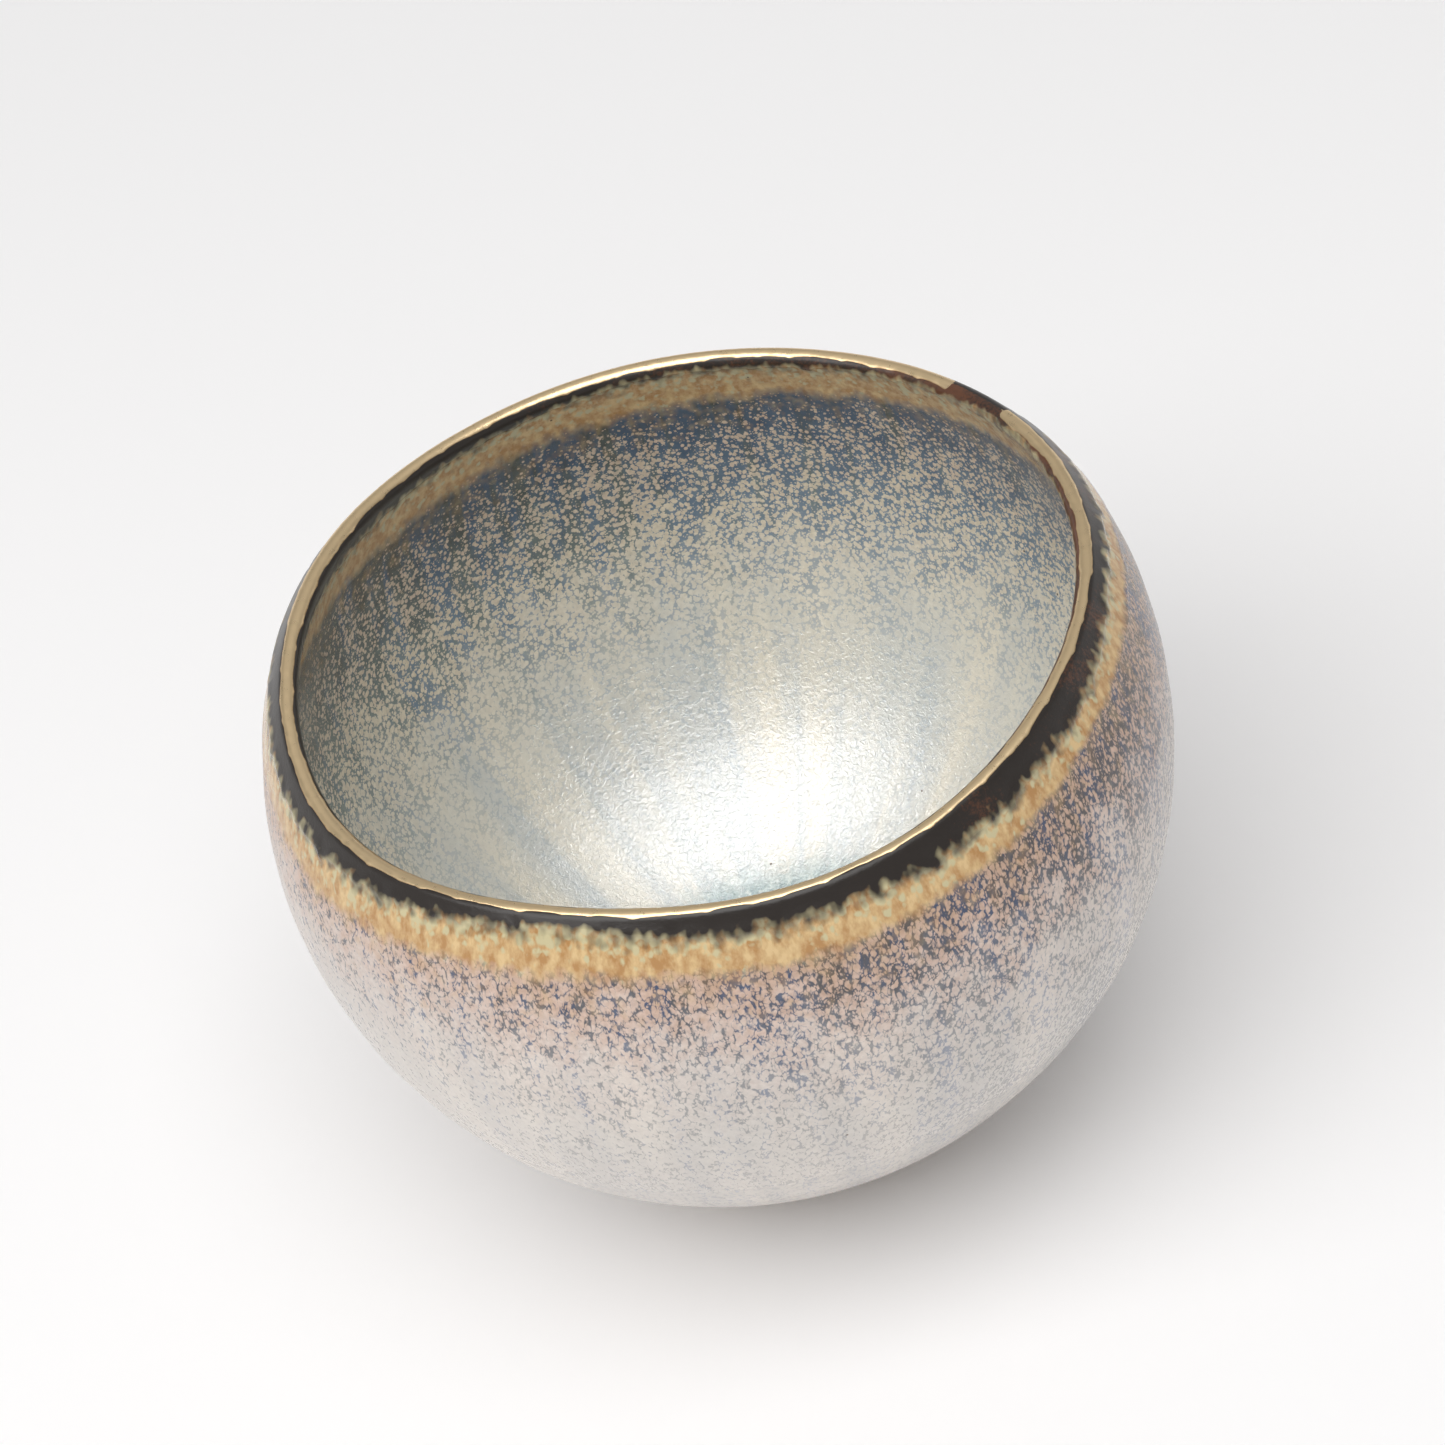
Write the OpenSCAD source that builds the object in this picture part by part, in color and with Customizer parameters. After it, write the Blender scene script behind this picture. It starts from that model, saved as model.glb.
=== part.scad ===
// A round tea bowl: a spherical thrown wall on a low foot ring, with the coats of glaze and the gilding
// that lie on it. Each coat is its own closed solid, and neighbours meet face to face.
// Millimetres. Origin at the middle of the foot's resting plane, +Z up through the mouth.

/* [Bowl] */
// Greatest diameter, over the glaze
bowl_d = 116; // [110:1:124]
// Height of the lip's crest above the table, under the gilding
bowl_h = 83.3; // [80:0.1:86]
// Wall at the belly, glaze included
wall_belly = 4.2; // [3.8:0.1:5]
// Thickness of the lip, glaze included
lip_t = 2.6; // [2.2:0.1:3]
// How far the hollow's centre sits above the outside's, which thickens the bottom
hollow_lift = 2; // [1:0.1:3]
// Distance below the lip, along the wall, at which the outside starts to turn in
turn_in = 7; // [6:0.5:12]

/* [Foot] */
// Diameter of the foot ring at the table
foot_d = 40; // [36:1:44]
// Width of the foot ring's resting face
foot_w = 4.4; // [3:0.1:6]
// Gap that the foot ring leaves between the table and the round of the bowl
foot_clear = 0.7; // [0.4:0.1:1.2]
// Depth of the hollow turned inside the foot ring
foot_hollow = 3.5; // [3:0.1:3.9]
// Outward lean of the foot ring's outer side, in mm for each mm of height
foot_lean = 0.22; // [0.1:0.02:0.4]

/* [Glaze] */
// Thickness of each coat
glaze_t = 0.6; // [0.4:0.05:0.8]
// Width of the dark coat on each side of the lip
dark_w = 3.6; // [3:0.1:5]
// Width of the ochre runs below the dark coat
runs_w = 5; // [3:0.1:8]
// Diameter of the bare clay round the foot ring
bare_d = 47; // [46:1:56]
// Diameter of the glassy pool in the bottom of the hollow
pool_d = 30; // [24:1:36]
// Depth of the pool at its middle
pool_t = 0.9; // [0.7:0.1:1.2]

/* [Gilding] */
// Thickness of the gilding
gold_t = 0.12; // [0.1:0.01:0.2]
// How far the gilding reaches round the lip on each side of the crest, in degrees
gold_reach = 62; // [50:1:80]

/* [Hidden] */
$fn = 240;

// Larger than anything that is cut, and the overlap that keeps a cut from ending on a face.
far = 2 * bowl_d;
over = 1;

// The outside and the hollow are two spheres, one a little above the other.
outer_r = bowl_d / 2;
outer_z = outer_r + foot_clear;
hollow_r = outer_r - wall_belly;
hollow_z = outer_z + hollow_lift;

// The lip is a round bead that sits on the hollow's sphere. A direction is an angle down from straight
// up, seen from the outside's centre.
lip_r = lip_t / 2;
lip_z = bowl_h - lip_r;
lip_x = sqrt(pow(hollow_r + lip_r, 2) - pow(lip_z - hollow_z, 2));
lip_a = atan2(lip_x, lip_z - outer_z);
function along(width) = width / outer_r * 180 / PI;

// The shoulder is the arc that leaves the outside's sphere smoothly and closes smoothly on the bead.
turn_a = lip_a + along(turn_in);
bead_room = outer_r - lip_r;
turn_shift = (pow(lip_x, 2) + pow(lip_z - outer_z, 2) - pow(bead_room, 2))
    / (2 * (lip_x * sin(turn_a) + (lip_z - outer_z) * cos(turn_a) - bead_room));
turn_r = outer_r - turn_shift;
turn_x = turn_shift * sin(turn_a);
turn_z = outer_z + turn_shift * cos(turn_a);

// Where each coat ends.
dark_a = lip_a + along(dark_w);
runs_a = dark_a + along(runs_w);
bare_a = 180 - asin(bare_d / 2 / outer_r);

// The foot ring's radii.
foot_r = foot_d / 2;
foot_in_r = foot_r - foot_w;
foot_root = 8;

// The pool's flatter top, a larger sphere that meets the hollow at the pool's edge.
pool_edge_z = hollow_z - sqrt(pow(hollow_r, 2) - pow(pool_d / 2, 2));
pool_sag = pool_edge_z - (hollow_z - hollow_r) - pool_t;
pool_r = (pow(pool_d / 2, 2) + pow(pool_sag, 2)) / (2 * pool_sag);

// A disc of the section, and a disc on the axis.
module disc(r, z, x = 0) translate([x, z]) circle(r);

// The part of the section right of the axis, between two directions.
module between(a, b) {
    steps = 6;
    polygon(concat([[0, outer_z]],
        [for (i = [0 : steps]) let (t = a + (b - a) * i / steps)
            [far * sin(t), outer_z + far * cos(t)]]));
}

// The bowl's section with a skin of the given depth taken off: sphere, shoulder and bead.
module body(skin) {
    hollow_reach = hollow_r + lip_r;
    bead_run = turn_r - lip_r;
    bead_out = [lip_x - turn_x, lip_z - turn_z] / bead_run;
    bead_in = [lip_x, lip_z - hollow_z] / hollow_reach;
    difference() {
        intersection() { disc(outer_r - skin, outer_z); between(turn_a, 180); }
        disc(hollow_r + skin, hollow_z);
    }
    difference() {
        intersection() {
            disc(turn_r - skin, turn_z, turn_x);
            polygon([[0, outer_z], [far * sin(turn_a), outer_z + far * cos(turn_a)],
                     [lip_x, lip_z] + far * bead_out, [lip_x, lip_z], [lip_x, lip_z] - lip_r * bead_in]);
        }
        disc(hollow_r + skin, hollow_z);
    }
    disc(lip_r - skin, lip_z, lip_x);
}

// The glaze's section all round the bowl, and the line through the clay that parts its two sides.
module coat() difference() { body(0); body(glaze_t); }
module hollow_side() disc(hollow_r + lip_r, hollow_z);

// The hollow turned out inside the foot ring, and the foot ring before it is fitted to the bowl.
module foot_recess() polygon([[-over, -over], [foot_in_r, -over], [foot_in_r, 0],
    [foot_in_r - foot_lean * foot_hollow, foot_hollow], [-over, foot_hollow]]);
module foot_blank() polygon([[0, 0], [foot_r, 0], [foot_r + foot_lean * foot_root, foot_root],
    [0, foot_root]]);

// The thrown clay, from the bottom up over the lip.
module clay_wall() color("#8d8378") rotate_extrude() difference() {
    body(glaze_t);
    foot_recess();
}

// The clay ring that carries the bowl.
module foot_ring() color("#8d8378") rotate_extrude() difference() {
    foot_blank();
    foot_recess();
    disc(outer_r - glaze_t, outer_z);
}

// The speckled coat on the outside, from the ochre runs down to the bare clay.
module outer_glaze() color("#b3a89f") rotate_extrude() difference() {
    intersection() { coat(); between(runs_a, bare_a); }
    hollow_side();
}

// The speckled coat that lines the hollow.
module inner_glaze() color("#a3a596") rotate_extrude() intersection() {
    coat();
    between(runs_a, 180);
    hollow_side();
}

// The glassy pool, a thin lens in the lowest part of the hollow.
module glaze_pool() color("#aeb6ae") rotate_extrude() difference() {
    intersection() {
        disc(hollow_r, hollow_z);
        square([pool_d / 2, pool_edge_z]);
    }
    disc(pool_r, pool_edge_z - pool_sag + pool_r);
}

// The dark coat over the lip, down both sides.
module rim_glaze() color("#241d1a") rotate_extrude()
    intersection() { coat(); between(0, dark_a); }

// The ochre runs below the dark coat, outside and inside.
module ochre_runs_outer() color("#b08a5b") rotate_extrude() difference() {
    intersection() { coat(); between(dark_a, runs_a); }
    hollow_side();
}
module ochre_runs_inner() color("#a58b63") rotate_extrude() intersection() {
    coat();
    between(dark_a, runs_a);
    hollow_side();
}

// The gilding, a thin skin over the crest of the lip.
module gold_lip() color("#c79a4b") rotate_extrude() intersection() {
    difference() {
        disc(lip_r + gold_t, lip_z, lip_x);
        disc(lip_r, lip_z, lip_x);
    }
    translate([lip_x, lip_z]) polygon([[0, 0], for (i = [-3 : 3]) 4 * lip_t
        * [sin(gold_reach * i / 3), cos(gold_reach * i / 3)]]);
}

clay_wall();
foot_ring();
outer_glaze();
inner_glaze();
glaze_pool();
rim_glaze();
ochre_runs_outer();
ochre_runs_inner();
gold_lip();
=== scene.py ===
"""A round tea bowl: thrown stoneware on a turned foot, speckled glaze, a dark dipped rim and a gilded lip.

Every piece is a turned surface. One signed distance, the run, says where a point is on the bowl's section:
it is 0 on the crest of the lip, grows down the outside, and is negative down the hollow. The pieces share
the section, the lip's slow wave and the relief of the glaze, so that they meet with no gap.
"""

from types import SimpleNamespace

import bpy
import numpy as np
from mathutils import Matrix, Vector


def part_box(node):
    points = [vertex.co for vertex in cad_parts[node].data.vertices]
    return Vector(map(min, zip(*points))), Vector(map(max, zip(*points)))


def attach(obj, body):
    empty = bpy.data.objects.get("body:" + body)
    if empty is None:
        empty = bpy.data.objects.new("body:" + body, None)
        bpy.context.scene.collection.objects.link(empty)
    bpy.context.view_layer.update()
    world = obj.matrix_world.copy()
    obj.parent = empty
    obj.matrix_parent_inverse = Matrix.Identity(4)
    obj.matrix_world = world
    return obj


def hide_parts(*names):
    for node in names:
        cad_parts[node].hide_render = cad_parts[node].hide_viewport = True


bl_info = {
    "name": "Tea Bowl",
    "version": (1, 0, 0),
    "blender": (4, 5, 0),
    "location": "3D View > Sidebar > Tea Bowl",
    "description": "Builds a glazed stoneware tea bowl with a gilded lip, and a plain stage for it",
    "category": "Add Mesh",
}

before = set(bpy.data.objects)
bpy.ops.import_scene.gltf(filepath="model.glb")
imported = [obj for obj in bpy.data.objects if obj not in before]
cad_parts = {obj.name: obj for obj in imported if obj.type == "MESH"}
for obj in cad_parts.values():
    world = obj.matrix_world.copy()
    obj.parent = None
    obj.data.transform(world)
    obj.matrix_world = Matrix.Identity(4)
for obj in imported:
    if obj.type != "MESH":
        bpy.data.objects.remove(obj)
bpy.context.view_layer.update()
MM = 0.001
TURN = 2 * np.pi

BELLY_MM = 58.0  # radius of the circle on which patterns are unrolled
AROUND = 360  # columns of a plain turned surface
AROUND_FINE = 720  # columns of a coat whose edges drip

# Slow waves that a potter's hands leave, in rows of how many go round the bowl, their height in millimetres
# and the direction of one in degrees.
LIP_WAVES = ((2, 1.3, 68), (3, 0.5, 80), (4, 0.65, 24), (5, 0.35, -15))
DARK_OUT_WAVES = ((1, 0.7, 60), (3, 0.9, -60), (7, 0.25, 10), (11, 0.2, 33))
DARK_IN_WAVES = ((1, 1.5, 200), (4, 0.3, 60), (11, 0.15, 5))
RUNS_OUT_WAVES = ((1, 1.0, -165), (3, 0.6, -65), (11, 0.2, 12))
RUNS_IN_WAVES = ((1, 1.3, 150), (6, 0.35, 20), (10, 0.2, 50))
BARE_WAVES = ((3, 0.6, 15), (8, 0.35, 50), (17, 0.2, 0))
GOLD_OUT_WAVES = ((1, 0.25, 90), (7, 0.12, 0), (19, 0.08, 9), (43, 0.07, 3))
GOLD_IN_WAVES = ((1, 0.15, 130), (6, 0.12, 30), (23, 0.08, 4), (51, 0.06, 1))
POOL_WAVES = ((3, 0.5, 20), (5, 0.35, 70), (8, 0.15, 10))
GOLD_GAP = (np.radians(31), np.radians(6.5))  # direction and half-width of the place that the brush missed

WAVE_FADES = (np.radians(70), np.radians(108))  # down from straight up, where the lip's wave fades out
FOOT_FLARE = 0.22  # how much each side of the foot ring widens it for each unit of height
FOOT_TOP = 6 * MM  # the ring reaches up into the clay wall to here
THROWING_PITCH = 7.5 * MM  # between two ridges that the fingers leave in throwing
GROOVE_PITCH = 2.2 * MM  # between two turns of the spiral cut inside the foot
TOOL_PITCH = 0.9 * MM  # between two turning marks on the foot's side
ROLL_ABOVE, ROLL_BELOW = 1.1 * MM, 0.35 * MM  # how a roll of thick glaze fades above and below its crest

# Centre and size of each lamp, and how far to the view's right and top of the bowl's middle the camera looks.
SOFTBOX = ((-0.80, -0.72, 1.56), (2.9, 1.4))
HOLLOW_SOFTBOX = ((-0.115, -0.26, 0.66), (1.45, 0.50))
OVERHEAD = ((0.5, 0.8, 1.9), (3.0, 3.0))
LOOK_RIGHT, LOOK_UP = 0.00045, 0.0035
FLOOR_HALF = 3.0


def linear(hex_colour):
    """The linear colour of an sRGB hex value, with alpha 1."""
    srgb = np.array([int(hex_colour[i : i + 2], 16) for i in (1, 3, 5)]) / 255
    return (*np.where(srgb <= 0.04045, srgb / 12.92, ((srgb + 0.055) / 1.055) ** 2.4), 1.0)


def number_prop(name, description, default, **kind):
    """A number, with the unit or subtype that kind gives it."""
    return bpy.props.FloatProperty(name=name, description=description, default=default, **kind)


def size_prop(name, description, default):
    """A length in metres."""
    return number_prop(name, description, default, unit="LENGTH", precision=5)


def colour_prop(name, description, hex_colour):
    """A colour given as sRGB hex."""
    return bpy.props.FloatVectorProperty(
        name=name, description=description, default=linear(hex_colour), size=4, subtype="COLOR",
        min=0, max=1,
    )


# ---- what a user would change


class TeaBowlSizes(bpy.types.PropertyGroup):
    """The sizes of the thrown form and of the coats on it"""

    bowl_d: size_prop("Bowl diameter", "Greatest diameter, over the glaze",
                      2 * round(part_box("outer_glaze")[1].x, 4))
    lip_top: size_prop("Lip height", "Height of the lip's crest above the table, under the gilding",
                       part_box("rim_glaze")[1].z)
    lip_t: size_prop("Lip thickness", "Thickness of the round lip, glaze included", 0.0026)
    wall_belly: size_prop("Wall", "Wall at the belly, glaze included", 0.0042)
    hollow_lift: size_prop("Hollow lift", "How far the hollow's centre sits above the outside's", 0.002)
    turn_in: size_prop("Turn in", "How far below the lip the outside starts to turn in", 0.007)
    foot_clear: size_prop("Foot clearance", "Gap between the table and the round of the bowl", 0.0007)
    foot_d: size_prop("Foot diameter", "Diameter of the foot ring at the table", 0.040)
    foot_w: size_prop("Foot width", "Width of the foot ring's resting face", 0.0044)
    foot_hollow: size_prop("Foot hollow", "Depth of the hollow turned inside the foot ring", 0.0035)
    glaze_t: size_prop("Glaze thickness", "Thickness of each coat of glaze", 0.0006)
    dark_out: size_prop("Dark coat outside", "How far the dark coat runs down the outside", 0.0041)
    dark_in: size_prop("Dark coat inside", "How far the dark coat runs down the hollow", 0.0031)
    runs_out: size_prop("Runs outside", "How far the ochre runs reach down the outside", 0.0088)
    runs_in: size_prop("Runs inside", "How far the ochre runs reach down the hollow", 0.0098)
    bare_d: size_prop("Bare clay", "Diameter of the bare clay round the foot", 0.047)
    pool_d: size_prop("Pool diameter", "Diameter of the pool of glaze in the bottom",
                      2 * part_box("glaze_pool")[1].x)
    pool_t: size_prop("Pool depth", "Depth of the pool at its middle", 0.0009)
    gold_reach: size_prop("Gilding reach", "How far the gilding reaches each side of the crest", 0.00095)
    gold_t: size_prop("Gilding thickness", "Thickness of the gilding", 0.00008)


class TeaBowlColours(bpy.types.PropertyGroup):
    """The colours of the clay, the glazes and the gold"""

    clay: colour_prop("Clay", "Bare fired stoneware", "#9a8672")
    dark: colour_prop("Dark glaze", "Iron glaze where it is thick", "#27211d")
    rust: colour_prop("Rust", "Iron glaze where it breaks thin", "#5f3b27")
    ochre: colour_prop("Ochre", "Runs below the dark glaze", "#b18450")
    honey: colour_prop("Honey", "Thin runs below the dark glaze", "#d8ba88")
    celadon: colour_prop("Celadon", "Pale green tongues in the runs", "#c6bb93")
    gold: colour_prop("Gold", "Fired gold lustre", "#f3d8ac")


class TeaBowlStage(bpy.types.PropertyGroup):
    """The floor, the lights and the camera"""

    floor: colour_prop("Floor", "Plain pale floor", "#fbfafa")
    elevation: number_prop("Elevation", "Camera's height over the plane of the lip", np.radians(42.8),
                           subtype="ANGLE")
    roll: number_prop("Roll", "How far the bowl leans to the left in the view", np.radians(14.4),
                      subtype="ANGLE")
    distance: size_prop("Distance", "Camera to the point it looks at", 0.522)
    lens: number_prop("Lens", "Focal length for a 36 mm sensor, in millimetres", 101.8)
    key: number_prop("Softbox", "Radiance of the softbox", 2.7)
    face: number_prop("Hollow softbox", "Radiance of the one that the hollow's gloss sees", 14.0)
    overhead: number_prop("Overhead", "Radiance of the overhead panel", 0.15)
    horizon: number_prop("Horizon", "Strength of the room low down", 0.9)
    ambient: number_prop("Ambient", "Strength of the room overhead", 0.34)


# ---- the shape of the bowl


def bowl_form(sizes):
    """Centres, radii and directions of the arcs in the bowl's section, worked out from its sizes.

    The outside is a sphere. The hollow is a smaller sphere, a little higher. The lip is a round bead that
    sits on the hollow's sphere at the lip's height. The shoulder is the one arc that leaves the outside's
    sphere smoothly and closes smoothly on the bead. Directions are angles down from straight up.
    """
    f = SimpleNamespace(sizes=sizes)
    f.outer_r = sizes.bowl_d / 2
    f.outer_z = f.outer_r + sizes.foot_clear
    f.hollow_r = f.outer_r - sizes.wall_belly
    f.hollow_z = f.outer_z + sizes.hollow_lift
    f.bead_r = sizes.lip_t / 2
    f.bead_z = sizes.lip_top - f.bead_r
    f.bead_x = np.sqrt((f.hollow_r + f.bead_r) ** 2 - (f.bead_z - f.hollow_z) ** 2)
    f.lip_a = np.arctan2(f.bead_x, f.bead_z - f.outer_z)
    f.turn_a = f.lip_a + sizes.turn_in / f.outer_r
    room = f.outer_r - f.bead_r
    across = f.bead_x * np.sin(f.turn_a) + (f.bead_z - f.outer_z) * np.cos(f.turn_a)
    shift = (f.bead_x**2 + (f.bead_z - f.outer_z) ** 2 - room**2) / (2 * (across - room))
    f.turn_r = f.outer_r - shift
    f.turn_x = shift * np.sin(f.turn_a)
    f.turn_z = f.outer_z + shift * np.cos(f.turn_a)
    f.bead_out = np.arctan2(f.bead_x - f.turn_x, f.bead_z - f.turn_z)
    f.bead_in = np.arctan2(f.bead_x, f.bead_z - f.hollow_z)
    f.bead_run = f.bead_r * f.bead_out
    f.turn_run = f.bead_run + f.turn_r * (f.turn_a - f.bead_out)
    f.outer_end = f.turn_run + f.outer_r * (np.pi - f.turn_a)
    f.hollow_run = f.bead_r * (np.pi - f.bead_in)
    f.hollow_end = f.hollow_run + f.hollow_r * (np.pi - f.bead_in)
    return f


def bowl_of(context):
    """The bowl's form, its sizes and its colours, as the panel has them."""
    sizes = context.scene.tea_bowl_sizes
    return bowl_form(sizes), sizes, context.scene.tea_bowl_colours


def section(form, run, depth):
    """Radius and height of the section at a run, some depth below the glaze.

    Each stretch is an arc: centre + radius * (sine, cosine) of a direction that grows by run over radius.
    Depth shrinks the bead's, shoulder's and outside's arcs, and widens the hollow's.
    """
    far = np.abs(run)
    stretches = (
        (run >= form.turn_run, 0, form.outer_z, form.outer_r - depth,
         form.turn_a + (far - form.turn_run) / form.outer_r),
        (run >= form.bead_run, form.turn_x, form.turn_z, form.turn_r - depth,
         form.bead_out + (far - form.bead_run) / form.turn_r),
        (run >= -form.hollow_run, form.bead_x, form.bead_z, form.bead_r - depth, run / form.bead_r),
        (run < -form.hollow_run, 0, form.hollow_z, form.hollow_r + depth,
         form.bead_in + (far - form.hollow_run) / form.hollow_r),
    )
    where = [s[0] for s in stretches]
    radius = np.select(where, [x + r * np.sin(a) for _, x, z, r, a in stretches])
    height = np.select(where, [z + r * np.cos(a) for _, x, z, r, a in stretches])
    return radius, height


def waves(phi, table):
    """A sum of cosines round the bowl, in metres: height * cos(count * (phi - direction)) for each row."""
    return sum(h * MM * np.cos(n * (phi - np.radians(d))) for n, h, d in table)


def smooth(x, low, high):
    """0 below low, 1 above high, and an S-curve between."""
    t = np.clip((x - low) / (high - low), 0, 1)
    return t * t * (3 - 2 * t)


def turned(form, radius, height, phi):
    """Points of a section turned by phi, after the lip's wave has slid the wall along its own sphere.

    The wave is a turn about the outside's centre, whole at the lip and gone below the belly.
    """
    reach = np.hypot(radius, height - form.outer_z)
    down = np.arctan2(radius, height - form.outer_z)
    hold = 1 - smooth(down, *WAVE_FADES)
    down = down + waves(phi, LIP_WAVES) / form.outer_r * hold
    around = reach * np.sin(down)
    return np.stack(
        [around * np.cos(phi), around * np.sin(phi), form.outer_z + reach * np.cos(down)], axis=-1
    )


def tongues(phi, count, length):
    """A row of rounded drips of uneven length: one hangs where two rows of waves agree."""
    beat = 0.55 * np.sin(count * phi + 1.3) + 0.45 * np.sin(int(1.62 * count) * phi + 0.4)
    return length * np.clip(beat, 0, 1) ** 1.5


def edges(form, phi):
    """The runs at which the dark coat and the ochre runs end, outside and in the hollow."""
    s = form.sizes
    dark_out = s.dark_out + waves(phi, DARK_OUT_WAVES) + tongues(phi, 53, 0.9 * MM)
    dark_in = s.dark_in + waves(phi, DARK_IN_WAVES) + tongues(phi + 2, 47, 0.6 * MM)
    runs_out = s.runs_out + waves(phi, RUNS_OUT_WAVES) + tongues(phi + 1, 29, 0.7 * MM)
    runs_in = s.runs_in + waves(phi, RUNS_IN_WAVES) + tongues(phi + 3, 31, 0.9 * MM)
    return dark_out, dark_in, runs_out, runs_in


def relief(form, run, phi):
    """How far the glaze stands above its even thickness.

    It is the spiral that throwing leaves, a slow unevenness, and a soft roll of thicker glaze just above
    the lower edge of the dark coat and of the ochre runs.
    """
    dark_out, dark_in, runs_out, runs_in = edges(form, phi)
    outside = run > 0
    far = np.abs(run)
    away_from_lip = smooth(far, 3 * MM, 12 * MM)
    spiral = np.where(outside, 0.03, 0.01) * MM * np.cos(TURN * far / THROWING_PITCH - phi)
    slow = 0.10 * MM * np.cos(3 * phi + far / (9 * MM)) + 0.08 * MM * np.cos(5 * phi - far / (14 * MM))
    dark, runs = np.where(outside, dark_out, dark_in), np.where(outside, runs_out, runs_in)
    rolls = 0
    for edge, height in ((dark, 0.16 * MM), (runs, 0.10 * MM)):
        below = far - edge
        width = np.where(below < 0, ROLL_ABOVE, ROLL_BELOW)
        rolls = rolls + height * np.exp(-((below / width) ** 2))
    return away_from_lip * (spiral + slow) + rolls


def flow(form, run, phi):
    """What the glazes' colours follow, one value of three parts for each point.

    The first is the band: 0 to 1 down the dark coat, 1 to 2 down the ochre runs, and then 0.01 more for
    each millimetre. The second is the run in millimetres, and the third is 1 outside and 0 in the hollow.
    """
    dark_out, dark_in, runs_out, runs_in = edges(form, phi)
    outside = run > 0
    dark = np.where(outside, dark_out, dark_in)
    runs = np.where(outside, runs_out, runs_in)
    far = np.abs(run)
    band = np.select(
        [far < dark, far < runs],
        [far / dark, 1 + (far - dark) / (runs - dark)],
        2 + (far - runs) / (100 * MM),
    )
    return np.stack([band, far / MM, outside + 0 * band], axis=-1)


def rounded(corners, radii, corner_steps, side_steps):
    """A closed outline, each corner cut to a quadratic curve that starts and ends a radius away from it.

    The curve is (1-t)^2 * before + 2t(1-t) * corner + t^2 * after, and straight sides join the curves.
    """
    before = np.roll(corners, 1, axis=0) - corners
    after = np.roll(corners, -1, axis=0) - corners
    start = corners + before / np.linalg.norm(before, axis=1)[:, None] * radii[:, None]
    end = corners + after / np.linalg.norm(after, axis=1)[:, None] * radii[:, None]
    t = np.linspace(0, 1, corner_steps)[:, None]
    u = np.linspace(0, 1, side_steps + 2)[1:-1, None]
    curves = [(1 - t) ** 2 * a + 2 * t * (1 - t) * c + t**2 * b for a, c, b in zip(start, corners, end)]
    sides = [a + (b - a) * u for a, b in zip(end, np.roll(start, -1, axis=0))]
    return np.concatenate([part for pair in zip(curves, sides) for part in pair])


# ---- meshes from grids of points


def mesh_from_grid(name, points, values, poles=False):
    """Makes an object of a grid of points, rows by columns. Columns always close round the bowl.

    With poles, the first and last rows shrink to points on the axis, and fans of triangles close them.
    Without, the last row joins the first. The faces are turned outwards if the volume they enclose comes
    out negative. values, one triple for each point, becomes the attribute that the materials read.
    """
    rows, count = points.shape[:2]
    index = np.arange(rows * count).reshape(rows, count)
    p, v = points.reshape(-1, 3), values.reshape(-1, 3)
    here, below = index, np.roll(index, -1, axis=0)
    fans = np.empty((0, 3), int)
    if poles:
        tips = np.array([[0, 0, points[row, :, 2].mean()] for row in (0, -1)])
        p = np.concatenate([tips, points[1:-1].reshape(-1, 3)])
        v = np.concatenate([values[[0, -1], 0], values[1:-1].reshape(-1, 3)])
        index = len(tips) + index[: rows - 2]
        here, below = index[:-1], index[1:]
        top, bottom = index[0], index[-1]
        fans = np.concatenate([
            np.stack([0 * top, np.roll(top, -1), top], axis=-1),
            np.stack([0 * bottom + 1, bottom, np.roll(bottom, -1)], axis=-1),
        ])
    quads = np.stack([here, np.roll(here, -1, axis=1), np.roll(below, -1, axis=1), below], axis=-1)
    quads = quads.reshape(-1, 4)
    corners = np.concatenate([quads[:, [0, 1, 2]], quads[:, [0, 2, 3]], fans])
    a, b, c = (p[corners[:, i]] for i in range(3))
    if np.einsum("ij,ij->", a, np.cross(b, c)) < 0:
        quads, fans = quads[:, ::-1], fans[:, ::-1]
    mesh = bpy.data.meshes.new(name)
    mesh.from_pydata(p, [], quads.tolist() + fans.tolist())
    mesh.attributes.new("flow", "FLOAT_VECTOR", "POINT").data.foreach_set("vector", v.ravel())
    mesh.polygons.foreach_set("use_smooth", np.ones(len(mesh.polygons), bool))
    mesh.set_sharp_from_angle(angle=np.radians(50))
    mesh.update()
    piece = bpy.data.objects.new(name, mesh)
    bpy.context.scene.collection.objects.link(piece)
    return piece


def columns(count):
    """The directions of a mesh's columns, round the bowl."""
    return np.arange(count) * TURN / count


def coat(form, phi, start, end, rows, under_rows=6, rounding=0):
    """A closed shell of glaze between two runs that may change round the bowl.

    The upper face follows the section and the relief, and the under face lies on the clay. With a rounding,
    the end comes down to the clay in a quarter circle, as the edge of melted glaze does.
    """
    glaze_t = form.sizes.glaze_t
    across = np.linspace(0, 1, rows + 1)[:, None]
    upper = start + (end - rounding - start) * across
    depth = -relief(form, upper, phi)
    back = np.linspace(1, 0, under_rows + 1)[:, None]
    if rounding:
        bend = np.linspace(0, np.pi / 2, 8)[1:, None]
        edge = end - rounding * (1 - np.sin(bend))
        depth = np.concatenate([depth, glaze_t - (glaze_t + relief(form, edge, phi)) * np.cos(bend)])
        upper = np.concatenate([upper, edge])
        back = back[1:]
    under = start + (end - start) * back
    run = np.concatenate([upper, under])
    depth = np.concatenate([depth, np.full(under.shape, glaze_t)])
    return turned(form, *section(form, run, depth), phi), flow(form, run, phi)


# ---- materials

# Patterns read millimetres, so the scale of a noise is how many of its features lie in one millimetre: 0.2
# draws clouds 5 mm wide.


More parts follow.
